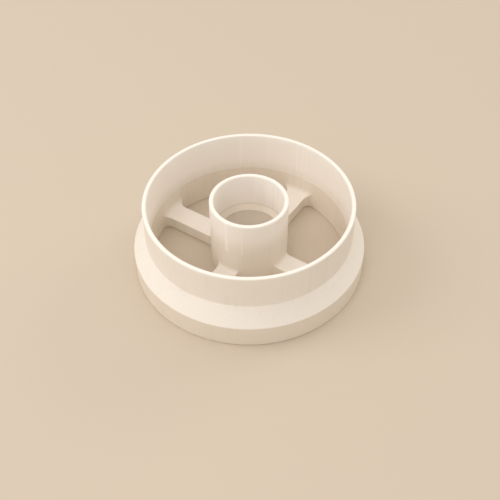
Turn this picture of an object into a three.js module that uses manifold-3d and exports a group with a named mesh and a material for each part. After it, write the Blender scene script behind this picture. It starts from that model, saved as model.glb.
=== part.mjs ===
// A printed donut cutter. A thin outer ring cuts the donut and a thin tube in the middle cuts the hole.
// The ring stands on a flared collar for the palm, the tube on a hub sleeve, and four spokes hold the hub
// inside the collar, so dough can pass between them. Millimetres, +Z up, cutting edges upwards, origin at
// the centre of the underside.
import * as THREE from 'three';
import { mergeVertices } from 'three/addons/utils/BufferGeometryUtils.js';
import Module from 'manifold-3d';

// Heights above the underside
const CUTTER_HEIGHT = 28.6; // both cutting edges
const COLLAR_RIM_HEIGHT = 8.85; // the collar's straight rim
const CONE_HEIGHT = 6.4; // the slope from the collar's rim up to the thin ring
const HUB_HEIGHT = 14.7; // the hub's top, where the thin tube starts
const SPOKE_HEIGHT = 5.0; // the spokes' flat tops

// Radii, walls and widths
const RING_RADIUS = 38.1; // outside of the outer cutting edge
const RING_WALL = 1.6;
const COLLAR_FLARE = 4.7; // how far the collar's rim stands out past the ring
const TUBE_RADIUS = 14.3; // outside of the hole cutting edge
const TUBE_WALL = 1.6;
const LEDGE_WIDTH = 1.4; // how far the hub's bore is narrower than the tube's
const LEDGE_DROP = 1.5; // how far the ledge slopes down from the tube to the hub's bore
const SPOKE_WIDTH = 8.0;

// Fillets and edges
const HUB_FILLET = 1.6; // where a spoke's top and sides run into the hub
const COLLAR_FILLET = 2.5; // where they run into the collar
const ROOT_LAND = 0.5; // the plain length of a spoke that stays with each of its roots
const RIM_ROUND = 0.5; // on both cutting edges
const FOOT_CHAMFER = 0.3; // on every edge of the underside

// Smoothness
const FACETS = 96; // around each ring
const ARC_STEPS = 8; // along a cove or corner
const RIM_STEPS = 3; // along a rounded rim edge

const SPOKE_NAMES = ['spoke_right', 'spoke_back', 'spoke_left', 'spoke_front'];
const PLASTIC_COLOUR = 0xf1e9dd;

// Sizes that follow from the ones above
const collarHeight = COLLAR_RIM_HEIGHT + CONE_HEIGHT;
const collarRadius = RING_RADIUS + COLLAR_FLARE;
const ringBore = RING_RADIUS - RING_WALL;
const tubeBore = TUBE_RADIUS - TUBE_WALL;
const hubBore = tubeBore - LEDGE_WIDTH;
const ledgeFoot = HUB_HEIGHT - LEDGE_DROP;
const hubFillet = Math.min(HUB_FILLET, ledgeFoot - SPOKE_HEIGHT);
const collarFillet = Math.min(COLLAR_FILLET, collarHeight - SPOKE_HEIGHT);
const hubRootTop = SPOKE_HEIGHT + hubFillet;
const collarRootTop = SPOKE_HEIGHT + collarFillet;
// Centres of the upright fillets between a spoke's sides and the two walls
const hubCornerY = SPOKE_WIDTH / 2 + hubFillet;
const hubCornerX = Math.sqrt((TUBE_RADIUS + hubFillet) ** 2 - hubCornerY ** 2);
const collarCornerY = SPOKE_WIDTH / 2 + collarFillet;
const collarCornerX = Math.sqrt((ringBore - collarFillet) ** 2 - collarCornerY ** 2);
// A spoke's plain bar runs between two flat planes, just clear of the fillets at its two ends.
const barStart = TUBE_RADIUS + hubFillet + ROOT_LAND;
const barEnd = collarCornerX - ROOT_LAND;

const wasm = await Module();
wasm.setup();

function solidOf(geometry) {
  const bare = geometry.clone();
  bare.deleteAttribute('normal');
  bare.deleteAttribute('uv');
  const merged = mergeVertices(bare);
  const vertProperties = new Float32Array(merged.attributes.position.array);
  const triVerts = new Uint32Array(merged.index.array);
  return new wasm.Manifold(new wasm.Mesh({ numProp: 3, vertProperties, triVerts }));
}

function geometryOf(solid) {
  const mesh = solid.getMesh();
  const geometry = new THREE.BufferGeometry();
  geometry.setAttribute('position', new THREE.BufferAttribute(mesh.vertProperties, 3));
  geometry.setIndex(new THREE.BufferAttribute(mesh.triVerts, 1));
  geometry.computeVertexNormals();
  return geometry;
}

// Points of an arc in a profile, by centre, radius and the angles of its two ends in degrees.
function arc(centreR, centreZ, radius, fromAngle, toAngle, steps) {
  const curve = new THREE.EllipseCurve(
    centreR, centreZ, radius, radius,
    THREE.MathUtils.degToRad(fromAngle), THREE.MathUtils.degToRad(toAngle), toAngle < fromAngle,
  );
  return curve.getPoints(steps);
}

// A closed profile of radius and height, anticlockwise, turned about the Z axis.
function turned(profile) {
  const geometry = new THREE.LatheGeometry([...profile, profile[0].clone()], FACETS);
  return geometry.rotateX(Math.PI / 2);
}

function point(radius, height) {
  return new THREE.Vector2(radius, height);
}

// A thin upright wall whose top edge is rounded on both sides.
function cuttingWall(outerRadius, wall, foot) {
  const bore = outerRadius - wall;
  const round = Math.min(RIM_ROUND, wall / 3);
  const shoulder = CUTTER_HEIGHT - round;
  return turned([
    point(bore, foot),
    point(outerRadius, foot),
    ...arc(outerRadius - round, shoulder, round, 0, 90, RIM_STEPS),
    ...arc(bore + round, shoulder, round, 90, 180, RIM_STEPS),
  ]);
}

function collarBody() {
  return turned([
    point(ringBore + FOOT_CHAMFER, 0),
    point(collarRadius - FOOT_CHAMFER, 0),
    point(collarRadius, FOOT_CHAMFER),
    point(collarRadius, COLLAR_RIM_HEIGHT),
    point(RING_RADIUS, collarHeight),
    point(ringBore, collarHeight),
    point(ringBore, FOOT_CHAMFER),
  ]);
}

function hubBody() {
  return turned([
    point(hubBore + FOOT_CHAMFER, 0),
    point(TUBE_RADIUS - FOOT_CHAMFER, 0),
    point(TUBE_RADIUS, FOOT_CHAMFER),
    point(TUBE_RADIUS, HUB_HEIGHT),
    point(tubeBore, HUB_HEIGHT),
    point(hubBore, ledgeFoot),
    point(hubBore, FOOT_CHAMFER),
  ]);
}

// The spokes' side view, turned into a full disc: a flat top with a cove up the hub and one up the collar.
// It reaches halfway into both walls, so the roots fuse with them.
function spokeDisc() {
  const insideHub = (TUBE_RADIUS + hubBore) / 2;
  const insideCollar = ringBore + RING_WALL / 2;
  return turned([
    point(insideHub, 0),
    point(insideCollar, 0),
    point(insideCollar, collarRootTop),
    ...arc(ringBore - collarFillet, collarRootTop, collarFillet, 0, -90, ARC_STEPS),
    ...arc(TUBE_RADIUS + hubFillet, hubRootTop, hubFillet, -90, -180, ARC_STEPS),
    point(insideHub, hubRootTop),
  ]);
}

// One spoke's plan, along +X: straight sides with a corner fillet at the hub and at the collar. The shape is
// the outline of its underside, and a chamfer widens it to the spoke's full width. Inside the two walls it
// runs on to the axis and to the collar's rim.
function spokePlan() {
  const hubAngle = Math.atan2(hubCornerY, hubCornerX);
  const collarAngle = Math.atan2(collarCornerY, collarCornerX);
  const hubArc = hubFillet + FOOT_CHAMFER;
  const collarArc = collarFillet + FOOT_CHAMFER;
  const wallY = ringBore * Math.sin(collarAngle);
  const quarter = Math.PI / 2;
  const plan = new THREE.Shape();
  plan.moveTo(0, 0);
  plan.absarc(hubCornerX, -hubCornerY, hubArc, Math.PI - hubAngle, quarter, true);
  plan.absarc(collarCornerX, -collarCornerY, collarArc, quarter, -collarAngle, true);
  plan.lineTo(collarRadius, -wallY);
  plan.lineTo(collarRadius, wallY);
  plan.absarc(collarCornerX, collarCornerY, collarArc, collarAngle, -quarter, true);
  plan.absarc(hubCornerX, hubCornerY, hubArc, -quarter, hubAngle - Math.PI, true);
  const geometry = new THREE.ExtrudeGeometry(plan, {
    depth: CUTTER_HEIGHT,
    curveSegments: ARC_STEPS,
    bevelEnabled: true,
    bevelThickness: FOOT_CHAMFER,
    bevelSize: FOOT_CHAMFER,
    bevelSegments: 1,
  });
  return geometry.translate(0, 0, FOOT_CHAMFER);
}

// A block that takes the part of a spoke between two planes square to X.
function between(fromX, toX) {
  const length = toX - fromX;
  const block = new THREE.BoxGeometry(length, 2 * collarRadius, 2 * CUTTER_HEIGHT);
  return solidOf(block.translate(fromX + length / 2, 0, 0));
}

const spokeAngles = SPOKE_NAMES.map((name, index) => (2 * Math.PI * index) / SPOKE_NAMES.length);
const wholeSpoke = solidOf(spokeDisc()).intersect(solidOf(spokePlan()));
const spokeBar = geometryOf(wholeSpoke.intersect(between(barStart, barEnd)));
const hubRoot = geometryOf(wholeSpoke.intersect(between(0, barStart)));
const collarRoot = geometryOf(wholeSpoke.intersect(between(barEnd, collarRadius)));

// A ring with a spoke's root fused to it at each spoke's angle.
function withRoots(body, root) {
  let solid = solidOf(body);
  for (const angle of spokeAngles) {
    solid = solid.add(solidOf(root.clone().rotateZ(angle)));
  }
  return geometryOf(solid);
}

function printedPiece(name, geometry) {
  const plastic = new THREE.MeshStandardMaterial({ color: PLASTIC_COLOUR, roughness: 0.5, metalness: 0 });
  const mesh = new THREE.Mesh(geometry, plastic);
  mesh.name = name;
  return mesh;
}

const cutter = new THREE.Group();
cutter.add(printedPiece('base_collar', withRoots(collarBody(), collarRoot)));
cutter.add(printedPiece('outer_cutting_ring', cuttingWall(RING_RADIUS, RING_WALL, collarHeight)));
cutter.add(printedPiece('hub_sleeve', withRoots(hubBody(), hubRoot)));
cutter.add(printedPiece('hole_cutting_tube', cuttingWall(TUBE_RADIUS, TUBE_WALL, HUB_HEIGHT)));
SPOKE_NAMES.forEach((name, index) => {
  const spoke = printedPiece(name, spokeBar.clone());
  spoke.rotation.z = spokeAngles[index];
  cutter.add(spoke);
});

export default cutter;
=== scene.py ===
import math

import bmesh
import bpy
from mathutils import Matrix, Quaternion, Vector, noise


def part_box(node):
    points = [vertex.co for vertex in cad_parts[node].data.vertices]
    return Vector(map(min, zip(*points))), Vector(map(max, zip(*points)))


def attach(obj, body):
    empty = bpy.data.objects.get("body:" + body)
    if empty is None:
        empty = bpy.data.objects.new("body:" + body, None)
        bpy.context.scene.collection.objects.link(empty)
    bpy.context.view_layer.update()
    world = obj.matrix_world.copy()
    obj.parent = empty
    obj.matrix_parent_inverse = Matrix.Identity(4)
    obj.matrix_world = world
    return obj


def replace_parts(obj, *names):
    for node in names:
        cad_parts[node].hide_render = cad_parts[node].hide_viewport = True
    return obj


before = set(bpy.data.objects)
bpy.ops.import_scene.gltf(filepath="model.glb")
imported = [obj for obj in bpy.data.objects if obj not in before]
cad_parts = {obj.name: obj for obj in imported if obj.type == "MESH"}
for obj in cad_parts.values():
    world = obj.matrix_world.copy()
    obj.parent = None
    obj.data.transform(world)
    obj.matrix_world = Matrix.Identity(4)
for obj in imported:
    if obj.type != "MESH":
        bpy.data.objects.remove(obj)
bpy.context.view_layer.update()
scene = bpy.context.scene
scene.view_settings.view_transform = "Standard"

# The viewpoint: the cutter seen from the near right, looking down by about 46 degrees.
# The view is aimed a little past the cutter's axis and rolled by a third of a degree.
VIEW_AZIMUTH = math.radians(33.5)
VIEW_DISTANCE = 0.20448
VIEW_HEIGHT = 0.21688
AIM_PAST_AXIS = 0.00254
AIM_TO_RIGHT = 0.00028
VIEW_ROLL = math.radians(-0.334)
FOCAL_LENGTH = 56.16
NEAREST_SEEN = 0.01

view_ahead = Vector((-math.sin(VIEW_AZIMUTH), math.cos(VIEW_AZIMUTH), 0))
view_right = Vector((math.cos(VIEW_AZIMUTH), math.sin(VIEW_AZIMUTH), 0))
view_up = Vector((0, 0, 1))
eye = VIEW_HEIGHT * view_up - VIEW_DISTANCE * view_ahead
aim = AIM_PAST_AXIS * view_ahead + AIM_TO_RIGHT * view_right
camera = bpy.data.objects.new("camera", bpy.data.cameras.new("camera"))
camera.data.lens = FOCAL_LENGTH
camera.data.clip_start = NEAREST_SEEN
camera.location = eye
camera.rotation_mode = "QUATERNION"
camera.rotation_quaternion = (aim - eye).to_track_quat("-Z", "Y") @ Quaternion((0, 0, 1), VIEW_ROLL)
scene.collection.objects.link(camera)
scene.camera = camera


# The floor: a plain pale sheet with a matt paint, which the cutter stands on.
# It lies a hair below the cutter's underside, so the two flat faces don't share a plane.
FLOOR_WIDTH = 6.0
FLOOR_DROP = 0.00005
FLOOR_PAINT = "CFC1AF"
FLOOR_ROUGHNESS = 0.95
FLOOR_GLOSS = 0.1


# An sRGB hex colour as linear light, with full alpha.
def linear(colour):
    channels = [int(colour[i:i + 2], 16) / 255 for i in (0, 2, 4)]
    return [c / 12.92 if c <= 0.04045 else ((c + 0.055) / 1.055) ** 2.4 for c in channels] + [1]


# Adds a node with its settings, and with its inputs as values or as links from other nodes.
def add_node(tree, kind, inputs, **settings):
    node = tree.nodes.new(kind)
    for name, value in settings.items():
        setattr(node, name, value)
    for name, value in inputs.items():
        if isinstance(value, bpy.types.NodeSocket):
            tree.links.new(value, node.inputs[name])
        else:
            node.inputs[name].default_value = value
    return node


# A matt emulsion: an even colour with no gloss.
floor_paint = bpy.data.materials.new("matt_emulsion")
floor_paint.use_nodes = True
floor_shader = floor_paint.node_tree.nodes["Principled BSDF"]
floor_shader.inputs["Base Color"].default_value = linear(FLOOR_PAINT)
floor_shader.inputs["Roughness"].default_value = FLOOR_ROUGHNESS
floor_shader.inputs["Specular IOR Level"].default_value = FLOOR_GLOSS

bm = bmesh.new()
bmesh.ops.create_grid(bm, x_segments=1, y_segments=1, size=FLOOR_WIDTH / 2)
bmesh.ops.translate(bm, vec=(0, 0, -FLOOR_DROP), verts=bm.verts)
floor_mesh = bpy.data.meshes.new("floor")
bm.to_mesh(floor_mesh)
bm.free()
floor_mesh.materials.append(floor_paint)
floor = bpy.data.objects.new("floor", floor_mesh)
scene.collection.objects.link(floor)


# The studio light: even daylight from all round, and four broad soft lamps, one overhead, a stronger one to
# the left, a faintly pink one in front and a warm one behind on the right. Together they light an upward
# white face to a level of about one. Each place is metres to the view's right, ahead and up.
OVERHEAD_PLACE = (0.0, 0.10, 0.95)
OVERHEAD_WATTS = 1.25
LEFT_PLACE = (-0.75, 0.02, 0.58)
LEFT_WATTS = 2.35
FRONT_PLACE = (-0.28, -0.56, 0.81)
FRONT_WATTS = 1.8
RIGHT_PLACE = (0.75, 0.60, 0.45)
RIGHT_WATTS = 1.9
LAMP_WIDTH = 0.6
LAMP_WHITE = "FFFBFB"
LAMP_PINK = "FFF6F1"
LAMP_WARM = "FFF3E0"
DAYLIGHT_WHITE = "FFFDF8"
DAYLIGHT_LEVEL = 0.70


# A broad round lamp that faces the cutter.
def soft_lamp(name, place, watts, colour):
    lamp = bpy.data.lights.new(name, "AREA")
    lamp.shape = "DISK"
    lamp.size = LAMP_WIDTH
    lamp.energy = watts
    lamp.color = linear(colour)[:3]
    stand = bpy.data.objects.new(name, lamp)
    right, ahead, up = place
    stand.location = right * view_right + ahead * view_ahead + up * view_up
    stand.rotation_mode = "QUATERNION"
    stand.rotation_quaternion = (-stand.location).to_track_quat("-Z", "Y")
    scene.collection.objects.link(stand)


soft_lamp("overhead_lamp", OVERHEAD_PLACE, OVERHEAD_WATTS, LAMP_WHITE)
soft_lamp("left_lamp", LEFT_PLACE, LEFT_WATTS, LAMP_WHITE)
soft_lamp("front_lamp", FRONT_PLACE, FRONT_WATTS, LAMP_PINK)
soft_lamp("right_lamp", RIGHT_PLACE, RIGHT_WATTS, LAMP_WARM)
daylight = bpy.data.worlds.new("daylight")
daylight.use_nodes = True
sky = daylight.node_tree.nodes["Background"]
sky.inputs["Color"].default_value = linear(DAYLIGHT_WHITE)
sky.inputs["Strength"].default_value = DAYLIGHT_LEVEL
scene.world = daylight


# The base collar: the flared foot of the print, a straight rim, a cone up to the thin ring, and the
# filleted roots of the four spokes inside. It is white PLA laid down in thin layers from the bed upwards,
# a skin of a few lines over a sparse infill. Places round the axis are in degrees from the right spoke.
MM = 0.001
FOOT_CHAMFER = 0.3 * MM
CONE_RISE = 6.4 * MM
RING_WALL = 1.6 * MM
INFILL_TOP = 12.7 * MM
COLLAR_FILLET = 2.5 * MM
TOP_EASE = 0.12 * MM
CREASE_EASE = 0.22 * MM
EASE_STEPS = 2
SKIN_STEP = 0.04 * MM
SAME_PLACE = 0.001 * MM
MERGE_GAP = 0.002 * MM
END_SLACK = 0.01 * MM
END_STEPS = 8
COVE_STEPS = 14
WALL_STEPS = 30
SHARP_ANGLE = math.radians(32)
# How pale the ring is painted inside by light shining through it, the side where more painted light shines
# through and by how much, and the height it takes.
RING_PAINTED_SHINE = 0.7
PAINTED_LIT_SIDE = 190
PAINTED_SIDE_LIGHT = 0.3
PAINTED_SHINE_RISE = 5 * MM
WALL_WHITE = "F2EADF"
WALL_SHADE = "ECE4D9"
INFILL_AND_SHADE_CAST = "F6F2ED"
PAINTED_LIFT_OVER_SPOKES = 0.5
PAINTED_SHINE_WHITE = "FFF8F0"
BEAD_WHITE = "FFFCF6"

spoke_low, spoke_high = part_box("spoke_right")
spoke_top = spoke_high.z
spoke_half = spoke_high.y
collar_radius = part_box("base_collar")[1].x
ring_low, ring_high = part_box("outer_cutting_ring")
ring_bore = ring_high.x - RING_WALL

# White PLA as it is printed: a satin cream white. Light that shines through thin walls is painted into the
# colour as painted light that makes them paler, and a bead that was laid too thick is almost white. Walls
# over a sparse infill look a little darker and browner, since less light comes back from behind them; the
# same cast also serves as painted shade in hollows and near the floor. Faint upright streaks about a
# millimetre apart show where the nozzle trembled. Layers of 0.2 mm are too fine to show here, so they are
# drawn 0.5 mm tall. The share of painted light that shines through runs from 0 to 1, and on to 2 for a
# thick bead.
STREAK_WIDTH = 1.1 * MM
STREAK_LENGTH = 60 * MM
STREAK_RELIEF = 0.01 * MM
LAYER_PITCH = 0.5 * MM
LAYER_RELIEF = 0.004 * MM
CLOUD_WIDTH = 14 * MM
SHADE_AT = 0.6
WHITE_AT = 1.0
PLA_ROUGHNESS = 0.48
PLA_IOR = 1.46
# A Mix node's colour sockets by number, since its other sockets have the same names.
MIX_FIRST = 6
MIX_SECOND = 7
MIX_RESULT = 2

pla = bpy.data.materials.new("white_pla_with_painted_light")
pla.use_nodes = True
tree = pla.node_tree
shader = tree.nodes["Principled BSDF"]
place = add_node(tree, "ShaderNodeTexCoord", {}).outputs["Object"]
drawn_out = add_node(
    tree, "ShaderNodeMapping",
    {"Vector": place, "Scale": (1 / STREAK_WIDTH, 1 / STREAK_WIDTH, 1 / STREAK_LENGTH)},
)
streaks = add_node(
    tree, "ShaderNodeTexNoise",
    {"Vector": drawn_out.outputs["Vector"], "Scale": 1.0, "Detail": 2.0, "Roughness": 0.6},
)
clouds = add_node(
    tree, "ShaderNodeTexNoise",
    {"Vector": place, "Scale": 1 / CLOUD_WIDTH, "Detail": 3.0, "Roughness": 0.6},
)
mottle = add_node(
    tree, "ShaderNodeMath", {0: streaks.outputs["Fac"], 1: clouds.outputs["Fac"]}, operation="ADD"
)
tint = add_node(tree, "ShaderNodeValToRGB", {"Fac": mottle.outputs[0]})
tint.color_ramp.elements[0].position = SHADE_AT
tint.color_ramp.elements[0].color = linear(WALL_SHADE)
tint.color_ramp.elements[1].position = WHITE_AT
tint.color_ramp.elements[1].color = linear(WALL_WHITE)
infill_and_painted_shade = add_node(tree, "ShaderNodeAttribute", {}, attribute_name="infill_and_painted_shade")
cast = add_node(
    tree, "ShaderNodeMix",
    {"Factor": infill_and_painted_shade.outputs["Fac"], MIX_FIRST: tint.outputs["Color"],
     MIX_SECOND: linear(INFILL_AND_SHADE_CAST)},
    data_type="RGBA", blend_type="MULTIPLY",
)
painted_shine_and_beads = add_node(tree, "ShaderNodeAttribute", {}, attribute_name="painted_shine_and_beads")
painted_pale = add_node(
    tree, "ShaderNodeMix",
    {"Factor": painted_shine_and_beads.outputs["Fac"], MIX_FIRST: cast.outputs[MIX_RESULT],
     MIX_SECOND: linear(PAINTED_SHINE_WHITE)},
    data_type="RGBA",
)
past_one = add_node(
    tree, "ShaderNodeMath", {0: painted_shine_and_beads.outputs["Fac"], 1: 1.0},
    operation="SUBTRACT", use_clamp=True,
)
beaded = add_node(
    tree, "ShaderNodeMix",
    {"Factor": past_one.outputs[0], MIX_FIRST: painted_pale.outputs[MIX_RESULT],
     MIX_SECOND: linear(BEAD_WHITE)},
    data_type="RGBA",
)
above_bed = add_node(tree, "ShaderNodeSeparateXYZ", {"Vector": place}).outputs["Z"]
turns = add_node(
    tree, "ShaderNodeMath", {0: above_bed, 1: 2 * math.pi / LAYER_PITCH}, operation="MULTIPLY"
)
layers = add_node(tree, "ShaderNodeMath", {0: turns.outputs[0]}, operation="SINE")
streak_relief = add_node(
    tree, "ShaderNodeBump", {"Height": streaks.outputs["Fac"], "Distance": STREAK_RELIEF, "Strength": 1.0}
)
layer_relief = add_node(
    tree, "ShaderNodeBump",
    {"Height": layers.outputs[0], "Distance": LAYER_RELIEF, "Strength": 1.0,
     "Normal": streak_relief.outputs["Normal"]},
)
tree.links.new(beaded.outputs[MIX_RESULT], shader.inputs["Base Color"])
tree.links.new(layer_relief.outputs["Normal"], shader.inputs["Normal"])
shader.inputs["Roughness"].default_value = PLA_ROUGHNESS
shader.inputs["IOR"].default_value = PLA_IOR


# Loops up a round wall with four spoke roots: the chamfered foot, the upright sides, the flat tops and
# the coves above them. reach is 1 for roots that stand outwards from the wall and -1 for inwards, plane is
# where the roots end, and fillet rounds their sides and tops into the wall. Each loop runs anticlockwise
# from the middle of the right root's end.
def rooted_foot(wall, reach, plane, fillet):
    across = spoke_half + fillet
    middle = Vector((math.sqrt((wall + reach * fillet) ** 2 - across ** 2), across))
    facing = math.atan2(middle.y, middle.x)
    coves = []
    sides = [(Vector((plane, spoke_half)), Vector((0, 1)))]
    for step in range(COVE_STEPS + 1):
        turn = math.pi / 2 * step / COVE_STEPS
        radius = wall + reach * fillet * (1 - math.sin(turn))
        coves.append((radius, spoke_top + fillet * (1 - math.cos(turn))))
        if reach * (radius - math.hypot(middle.x, spoke_half)) >= 0:
            sides.append((Vector((math.sqrt(radius ** 2 - spoke_half ** 2), spoke_half)), Vector((0, 1))))
        else:
            share = (radius ** 2 - middle.length_squared - fillet ** 2) / (2 * middle.length * fillet)
            bend = facing - math.acos(max(-1, min(1, share)))
            towards = -Vector((math.cos(bend), math.sin(bend)))
            sides.append((middle - fillet * towards, towards))

    def loop(height, inset, cove):
        half = []
        for step in range(END_STEPS):
            if cove is None:
                half.append(Vector((plane, (spoke_half - inset) * step / END_STEPS)))
            else:
                tip = sides[cove + 1][0]
                turn = math.atan2(tip.y, tip.x) * step / END_STEPS
                half.append(coves[cove][0] * Vector((math.cos(turn), math.sin(turn))))
        for index in range(len(sides)):
            tip, towards = sides[index if cove is None else max(index, cove + 1)]
            half.append(tip - inset * towards)
        for step in range(1, WALL_STEPS + 1):
            turn = facing + (math.pi / 4 - facing) * step / WALL_STEPS
            half.append((wall - reach * inset) * Vector((math.cos(turn), math.sin(turn))))
        mirrored = [Vector((p.x, -p.y)) for p in reversed(half[1:-1])]
        points = []
        for quarter in range(4):
            for run, turns in ((half, quarter), (mirrored, quarter + 1)):
                turn = Matrix.Rotation(turns * math.pi / 2, 2)
                points += [(turn @ p).to_3d() + Vector((0, 0, height)) for p in run]
        return points

    plain = [loop(0, FOOT_CHAMFER, None), loop(FOOT_CHAMFER, 0, None), loop(spoke_top, 0, None)]
    return plain + [loop(cove_height, 0, step) for step, (radius, cove_height) in enumerate(coves)]


# The same directions from the axis as a loop, at one radius and height.
def round_loop(loop, radius, height):
    return [radius * Vector((p.x, p.y, 0)).normalized() + Vector((0, 0, height)) for p in loop]


# A closed skin through a stack of loops, each extruded from the one before it, with a flat underside
# between the first loop and the last.
def skin_through(loops):
    bm = bmesh.new()
    ring = [bm.verts.new(p) for p in loops[0]]
    edges = [bm.edges.new((ring[i - 1], ring[i])) for i in range(len(ring))]
    for loop in loops[1:]:
        made = bmesh.ops.extrude_edge_only(bm, edges=edges)["geom"]
        new = {v for v in made if isinstance(v, bmesh.types.BMVert)}
        ring = [next(e.other_vert(v) for e in v.link_edges if e.other_vert(v) in new) for v in ring]
        for vert, point in zip(ring, loop):
            vert.co = point
        edges = [bm.edges.get((ring[i - 1], ring[i])) for i in range(len(ring))]
    bmesh.ops.remove_doubles(bm, verts=bm.verts, dist=MERGE_GAP)
    bmesh.ops.triangle_fill(
        bm, edges=[e for e in bm.edges if e.is_boundary], use_beauty=True, normal=(0, 0, -1)
    )
    bmesh.ops.recalc_face_normals(bm, faces=bm.faces)
    return bm


# A smooth rise from 0 to 1 between two levels.
def ramp(low, high, level):
    share = max(0, min(1, (level - low) / (high - low)))
    return share ** 2 * (3 - 2 * share)


# Takes the sharpness off a set of edges.
def ease_edges(bm, edges, width):
    bmesh.ops.bevel(
        bm, geom=edges, offset=width, offset_type="OFFSET", segments=EASE_STEPS, profile=0.5,
        affect="EDGES", material=-1, clamp_overlap=True,
    )


# The sharp upper edges along a spoke or a root, up to a cove's rise, without those across its flat ends.
def top_edges(bm, ends, rise):
    found = []
    for edge in bm.edges:
        one, two = (v.co for v in edge.verts)
        across = any(
            abs(one[i] - two[i]) < END_SLACK and abs(max(abs(one[i]), abs(two[i])) - end) < END_SLACK
            for i in (0, 1) for end in ends
        )
        raised = min(one.z, two.z) > spoke_top - END_SLACK and max(one.z, two.z) < spoke_top + rise
        if raised and not across and edge.is_manifold and edge.calc_face_angle() > SHARP_ANGLE:
            found.append(edge)
    return found


# Finishes a piece: smooth faces with the sharp edges kept, the plastic, and the body it belongs to.
def printed_piece(bm, name):
    bmesh.ops.recalc_face_normals(bm, faces=bm.faces)
    mesh = bpy.data.meshes.new(name)
    bm.to_mesh(mesh)
    bm.free()
    mesh.shade_smooth()
    mesh.set_sharp_from_angle(angle=SHARP_ANGLE)
    mesh.materials.append(pla)
    piece = bpy.data.objects.new(name + "_print", mesh)
    scene.collection.objects.link(piece)
    even = piece.modifiers.new("even_flats", "WEIGHTED_NORMAL")
    even.keep_sharp = True
    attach(piece, "root")
    return piece


# How much paler or darker than its mean a thin wall is painted at a point: painted light that shines
# through more on the side towards the left lamp.
def painted_side_light(point):
    return PAINTED_SIDE_LIGHT * math.cos(math.atan2(point.y, point.x) - math.radians(PAINTED_LIT_SIDE))


# How pale the ring is painted inside by light shining through, more towards its rim.
def ring_painted_shine(point):
    return (RING_PAINTED_SHINE + painted_side_light(point)) * ramp(INFILL_TOP, INFILL_TOP + PAINTED_SHINE_RISE, point.z)


rim_height = ring_low.z - CONE_RISE
collar_wall = ring_bore - SKIN_STEP
loops = rooted_foot(collar_wall, -1, spoke_high.x, COLLAR_FILLET)
for radius, height in (
    (collar_wall, INFILL_TOP - SKIN_STEP),
    (ring_bore, INFILL_TOP),
    (ring_bore, ring_low.z),
    (ring_high.x, ring_low.z),
    (collar_radius, rim_height),
    (collar_radius, FOOT_CHAMFER),
    (collar_radius - FOOT_CHAMFER, 0),
):
    loops.append(round_loop(loops[-1], radius, height))
bm = skin_through(loops)
crease = [e for e in bm.edges if all(abs(v.co.z - rim_height) < SAME_PLACE for v in e.verts)]
ease_edges(bm, crease, CREASE_EASE)
ease_edges(bm, top_edges(bm, (spoke_high.x,), COLLAR_FILLET), TOP_EASE)
infill_and_shade_share = bm.verts.layers.float.new("infill_and_painted_shade")
painted_shine_share = bm.verts.layers.float.new("painted_shine_and_beads")
for vert in bm.verts:
    radius = vert.co.xy.length
    if radius > ring_bore + SAME_PLACE:
        # Outside, only the straight rim gets the cast: partly the infill behind it, partly painted shade
        # near the floor.
        vert[infill_and_shade_share] = float(radius > collar_radius - SAME_PLACE and vert.co.z < rim_height)
    elif vert.co.z < INFILL_TOP - SKIN_STEP / 2:
        # Below the infill's top the inner wall gets the cast: partly the infill behind it, partly painted
        # shade towards the floor.
        vert[infill_and_shade_share] = ramp(collar_wall - COLLAR_FILLET, collar_wall, radius)
        # Above a spoke's root some of the cast is lifted: painted light, where the lit spoke's top brightens
        # the wall above it.
        if vert.co.z > spoke_top:
            beside_spoke = min(abs(vert.co.x), abs(vert.co.y)) - spoke_half
            vert[infill_and_shade_share] *= 1 - PAINTED_LIFT_OVER_SPOKES * (1 - ramp(0, COLLAR_FILLET, beside_spoke))
    else:
        vert[painted_shine_share] = ring_painted_shine(vert.co)
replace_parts(printed_piece(bm, "base_collar"), "base_collar")


# The spokes: four flat bars that carry the hub inside the collar. They are printed with the collar, flat
# on the bed, with the same chamfer round the foot and slightly eased top edges.
for name in ("spoke_right", "spoke_back", "spoke_left", "spoke_front"):
    low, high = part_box(name)
    length = high - low
    along = 0 if length.x > length.y else 1
    bm = bmesh.new()
    bmesh.ops.create_cube(bm, size=1)
    bmesh.ops.scale(bm, vec=length, verts=bm.verts)
    bmesh.ops.translate(bm, vec=(low + high) / 2, verts=bm.verts)
    foot_edges = [
        e for e in bm.edges
        if e.verts[0].co.z + e.verts[1].co.z < spoke_top / 2
        and abs((e.verts[0].co - e.verts[1].co)[along]) > length[along] / 2
    ]
    bmesh.ops.bevel(
        bm, geom=foot_edges, offset=FOOT_CHAMFER, offset_type="OFFSET", segments=1, profile=0.5,
        affect="EDGES", material=-1,
    )
    ease_edges(bm, top_edges(bm, (spoke_low.x, spoke_high.x), COLLAR_FILLET), TOP_EASE)
    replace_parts(printed_piece(bm, name), name)


# The hub sleeve: the thick lower end of the middle tube, with the inner roots of the spokes round it. A
# ledge slopes down inside, from the thin tube to the narrower bore. It is white PLA, printed in one with
# the spokes. The slope and the upper bore are browner with painted shade, deep in the tube, and the
# ledge's edge and the bore's lower part paler, with a painted highlight and painted light.
HUB_FILLET = 1.6 * MM
TUBE_WALL = 1.6 * MM
LEDGE_WIDTH = 1.4 * MM
LEDGE_DROP = 1.5 * MM
LEDGE_EASE = 0.3 * MM
BORE_PAINTED_LIGHT = 0.8

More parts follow.
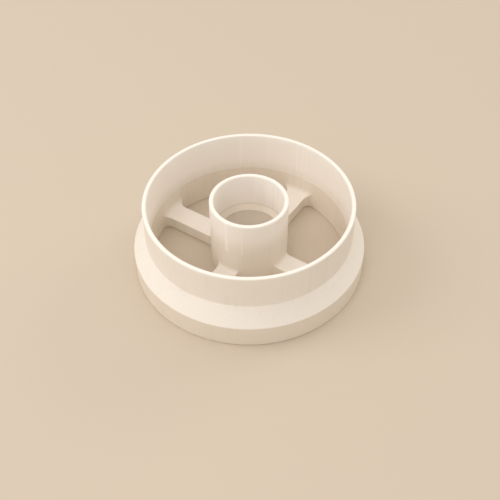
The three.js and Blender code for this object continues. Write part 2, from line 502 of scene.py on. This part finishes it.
tube_low, tube_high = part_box("hole_cutting_tube")
hub_top = tube_low.z
tube_radius = tube_high.x
tube_bore = tube_radius - TUBE_WALL
hub_bore = tube_bore - LEDGE_WIDTH
ledge_foot = hub_top - LEDGE_DROP
loops = rooted_foot(tube_radius, 1, spoke_low.x, HUB_FILLET)
for radius, height in (
    (tube_radius, hub_top),
    (tube_bore, hub_top),
    (hub_bore, ledge_foot),
    (hub_bore, ledge_foot / 2),
    (hub_bore, FOOT_CHAMFER),
    (hub_bore + FOOT_CHAMFER, 0),
):
    loops.append(round_loop(loops[-1], radius, height))
bm = skin_through(loops)
ledge_edge = [e for e in bm.edges if all(abs(v.co.z - ledge_foot) < SAME_PLACE for v in e.verts)]
ease_edges(bm, ledge_edge, LEDGE_EASE)
ease_edges(bm, top_edges(bm, (spoke_low.x,), HUB_FILLET), TOP_EASE)
infill_and_shade_share = bm.verts.layers.float.new("infill_and_painted_shade")
painted_shine_share = bm.verts.layers.float.new("painted_shine_and_beads")
for vert in bm.verts:
    if vert.co.xy.length < tube_bore + SAME_PLACE:
        # A painted highlight on the ledge's edge and painted light in the lower bore; painted shade
        # elsewhere.
        on_highlit_edge = abs(vert.co.z - ledge_foot) < LEDGE_EASE / 2
        if on_highlit_edge or vert.co.z < ledge_foot / 2 + LEDGE_EASE:
            vert[painted_shine_share] = BORE_PAINTED_LIGHT
        else:
            vert[infill_and_shade_share] = 1
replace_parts(printed_piece(bm, "hub_sleeve"), "hub_sleeve")


# The outer cutting ring: a thin upright wall that cuts the donut. It is four printed lines thick, and its
# upper edge is slightly rounded where the last lines were laid. The nozzle started each layer at the same
# spot, which left a small lump on the rim and a few paler upright lines inside.
RIM_ROUND = 0.5 * MM
RIM_STEPS = 6
RIM_PAINTED_HIGHLIGHT = 0.5
RING_STEPS = 960
RING_ROWS = 8
RING_LUMP_ANGLE = 86
LUMP_REACH = 0.25 * MM
LUMP_WIDTH = 1.0 * MM
BEAD_SHINE = 2
# Each pale line's place, its width in millimetres, and how far its tone goes towards a thick bead's.
RING_PALE_LINES = (
    (128.5, 1.2, 0.4),
    (111, 0.7, 0.4),
    (92.3, 0.7, 0.5),
    (88.6, 0.6, 0.6),
    (85.8, 0.5, 0.3),
)


# A thin upright wall turned round the axis, with a rounded rim and rows of vertices up both sides.
def cutting_wall(radius, wall, low, high, steps, outer_rows, inner_rows):
    bm = bmesh.new()
    corners = [(radius - wall, 0, low), (radius, 0, low), (radius, 0, high), (radius - wall, 0, high)]
    profile = bm.faces.new([bm.verts.new(p) for p in corners])
    rim = [v for v in profile.verts if v.co.z > (low + high) / 2]
    bmesh.ops.bevel(
        bm, geom=rim, offset=RIM_ROUND, offset_type="OFFSET", segments=RIM_STEPS, profile=0.5,
        affect="VERTICES", material=-1,
    )
    bmesh.ops.delete(bm, geom=list(bm.faces), context="FACES_ONLY")
    upright = [e for e in bm.edges if abs(e.verts[0].co.z - e.verts[1].co.z) > (high - low) / 2]
    for edge in upright:
        outside = edge.verts[0].co.x > radius - wall / 2
        bmesh.ops.subdivide_edges(bm, edges=[edge], cuts=outer_rows if outside else inner_rows)
    bmesh.ops.spin(
        bm, geom=list(bm.verts) + list(bm.edges), cent=(0, 0, 0), axis=(0, 0, 1), angle=2 * math.pi,
        steps=steps, use_merge=True,
    )
    bmesh.ops.remove_doubles(bm, verts=bm.verts, dist=MERGE_GAP)
    return bm


# How far round the wall a point lies from an angle, in metres.
def round_from(point, angle):
    off = math.atan2(point.y, point.x) - math.radians(angle)
    return math.remainder(off, 2 * math.pi) * point.xy.length


# A soft hump, 1 in the middle and 0 from half its width outwards.
def hump(distance, width):
    return max(0, 1 - (2 * distance / width) ** 2) ** 2


# How far a set of pale lines takes a wall towards a thick bead at a point.
def pale_share(point, lines):
    return sum(share * hump(round_from(point, angle), width * MM) for angle, width, share in lines)


# A wall's share of painted light shining through, taken part of the way to a thick bead's.
def towards_bead(painted_shine_level, share):
    return painted_shine_level + (BEAD_SHINE - painted_shine_level) * min(1, share)


# Pushes the wall's upper edge outwards in a small lump.
def seam_lump(bm, angle, top):
    for vert in bm.verts:
        size = hump(round_from(vert.co, angle), LUMP_WIDTH) * hump(top - vert.co.z, 2 * LUMP_WIDTH)
        vert.co += size * LUMP_REACH * Vector((vert.co.x, vert.co.y, 0)).normalized()


bm = cutting_wall(ring_high.x, RING_WALL, ring_low.z, ring_high.z, RING_STEPS, RING_ROWS, RING_ROWS)
painted_shine_share = bm.verts.layers.float.new("painted_shine_and_beads")
for vert in bm.verts:
    # The rounded rim is painted paler: a painted highlight where it catches the light.
    vert[painted_shine_share] = RIM_PAINTED_HIGHLIGHT * ramp(ring_high.z - RIM_ROUND / 2, ring_high.z, vert.co.z)
    # Inside, the ring is painted paler with light shining through it, and its pale lines go towards a bead's
    # tone.
    if vert.co.xy.length < ring_bore + SAME_PLACE:
        vert[painted_shine_share] = towards_bead(ring_painted_shine(vert.co), pale_share(vert.co, RING_PALE_LINES))
seam_lump(bm, RING_LUMP_ANGLE, ring_high.z)
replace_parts(printed_piece(bm, "outer_cutting_ring"), "outer_cutting_ring")


# The hole cutting tube: the thin upright tube that cuts the hole, printed on top of the hub sleeve in the
# same way as the ring. Outside it has one broad pale line and a dotted seam, over painted light shining
# through it. Inside it has fine stripes and a few pale lines over painted light shining through, and a foot
# above the ledge that is browner with painted shade.
TUBE_STEPS = 480
TUBE_OUTER_ROWS = 63
TUBE_INNER_ROWS = 8
TUBE_LUMP_ANGLE = 82
BROAD_LINE_ANGLE = -91
BROAD_LINE_WIDTH = 1.5 * MM
# The seam has a dot for each layer of 0.2 mm. They are too fine to show, so they are drawn 0.9 mm apart.
SEAM_ANGLE = -66.8
SEAM_WIDTH = 0.9 * MM
SEAM_PITCH = 0.9 * MM
SEAM_RELIEF = 0.05 * MM
TUBE_PAINTED_SHINE = 0.8
TUBE_PAINTED_SHINE_RISE = 9 * MM
TUBE_INSIDE_PAINTED_SHINE = 0.95
TUBE_FOOT_RISE = 1.4 * MM
TUBE_FOOT_PAINTED_SHADE = 0.5
TUBE_PALE_LINES = (
    (111.4, 1.0, 0.5),
    (89.6, 0.7, 0.4),
    (83.6, 0.5, 0.35),
    (74.6, 0.7, 0.5),
)
STRIPE_PITCH = 0.8 * MM
STRIPE_DEPTH = 0.5
STRIPE_ANGLE = 80
STRIPE_SPREAD = 16 * MM

bm = cutting_wall(
    tube_radius, TUBE_WALL, tube_low.z, tube_high.z, TUBE_STEPS, TUBE_OUTER_ROWS, TUBE_INNER_ROWS
)
infill_and_shade_share = bm.verts.layers.float.new("infill_and_painted_shade")
painted_shine_share = bm.verts.layers.float.new("painted_shine_and_beads")
for vert in bm.verts:
    outward = Vector((vert.co.x, vert.co.y, 0)).normalized()
    # Each vertex starts with the rim's painted highlight, which only the rim keeps.
    vert[painted_shine_share] = RIM_PAINTED_HIGHLIGHT
    if vert.co.xy.length > tube_radius - SAME_PLACE:
        dots = 0.5 + 0.5 * math.cos(2 * math.pi * vert.co.z / SEAM_PITCH)
        seam = hump(round_from(vert.co, SEAM_ANGLE), SEAM_WIDTH) * dots
        broad = hump(round_from(vert.co, BROAD_LINE_ANGLE), BROAD_LINE_WIDTH)
        painted_shine_level = TUBE_PAINTED_SHINE * ramp(hub_top, hub_top + TUBE_PAINTED_SHINE_RISE, vert.co.z)
        vert[painted_shine_share] = towards_bead(painted_shine_level, broad + seam)
        vert.co += SEAM_RELIEF * max(broad, seam) * outward
    elif vert.co.xy.length < tube_bore + SAME_PLACE:
        ripple = noise.noise(outward * tube_bore / STRIPE_PITCH)
        stripes = STRIPE_DEPTH * ripple * hump(round_from(vert.co, STRIPE_ANGLE), 2 * STRIPE_SPREAD)
        painted_shine_level = min(1, TUBE_INSIDE_PAINTED_SHINE + painted_side_light(vert.co) + stripes)
        # Near the foot the painted light fades into painted shade in the corner above the ledge.
        clear_of_painted_foot_shade = ramp(tube_low.z, tube_low.z + TUBE_FOOT_RISE, vert.co.z)
        vert[painted_shine_share] = clear_of_painted_foot_shade * towards_bead(painted_shine_level, pale_share(vert.co, TUBE_PALE_LINES))
        vert[infill_and_shade_share] = TUBE_FOOT_PAINTED_SHADE * (1 - clear_of_painted_foot_shade)
seam_lump(bm, TUBE_LUMP_ANGLE, tube_high.z)
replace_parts(printed_piece(bm, "hole_cutting_tube"), "hole_cutting_tube")


# A loose strand: a thin thread of the same plastic that the nozzle dropped, lying along the crease between
# the cone and the ring, and stuck to both. It swells and thins a little and tapers at both ends.
STRAND_RADIUS = 0.13 * MM
STRAND_START = -94.6
STRAND_END = -87.8
STRAND_STEPS = 24
STRAND_SIDES = 8
STRAND_SWELL = 0.2
STRAND_SWELLS = 4.5

strand_reach = ring_high.x + STRAND_RADIUS
strand_height = ring_low.z + STRAND_RADIUS / 2
bm = bmesh.new()
bmesh.ops.create_circle(bm, segments=STRAND_SIDES, radius=STRAND_RADIUS)
bmesh.ops.rotate(bm, verts=bm.verts, matrix=Matrix.Rotation(math.pi / 2, 3, "X"))
bmesh.ops.translate(bm, verts=bm.verts, vec=(strand_reach, 0, strand_height))
bmesh.ops.rotate(bm, verts=bm.verts, matrix=Matrix.Rotation(math.radians(STRAND_START), 3, "Z"))
bmesh.ops.spin(
    bm, geom=list(bm.verts) + list(bm.edges), cent=(0, 0, 0), axis=(0, 0, 1),
    angle=math.radians(STRAND_END - STRAND_START), steps=STRAND_STEPS,
)
for vert in bm.verts:
    turn = math.atan2(vert.co.y, vert.co.x)
    share = (math.degrees(turn) - STRAND_START) / (STRAND_END - STRAND_START)
    core = Vector((strand_reach * math.cos(turn), strand_reach * math.sin(turn), strand_height))
    taper = math.sqrt(max(0, math.sin(math.pi * max(0, min(1, share)))))
    swell = 1 - STRAND_SWELL + STRAND_SWELL * math.cos(2 * math.pi * STRAND_SWELLS * share)
    vert.co = core + (vert.co - core) * taper * swell
bmesh.ops.remove_doubles(bm, verts=bm.verts, dist=MERGE_GAP)
printed_piece(bm, "loose_strand")
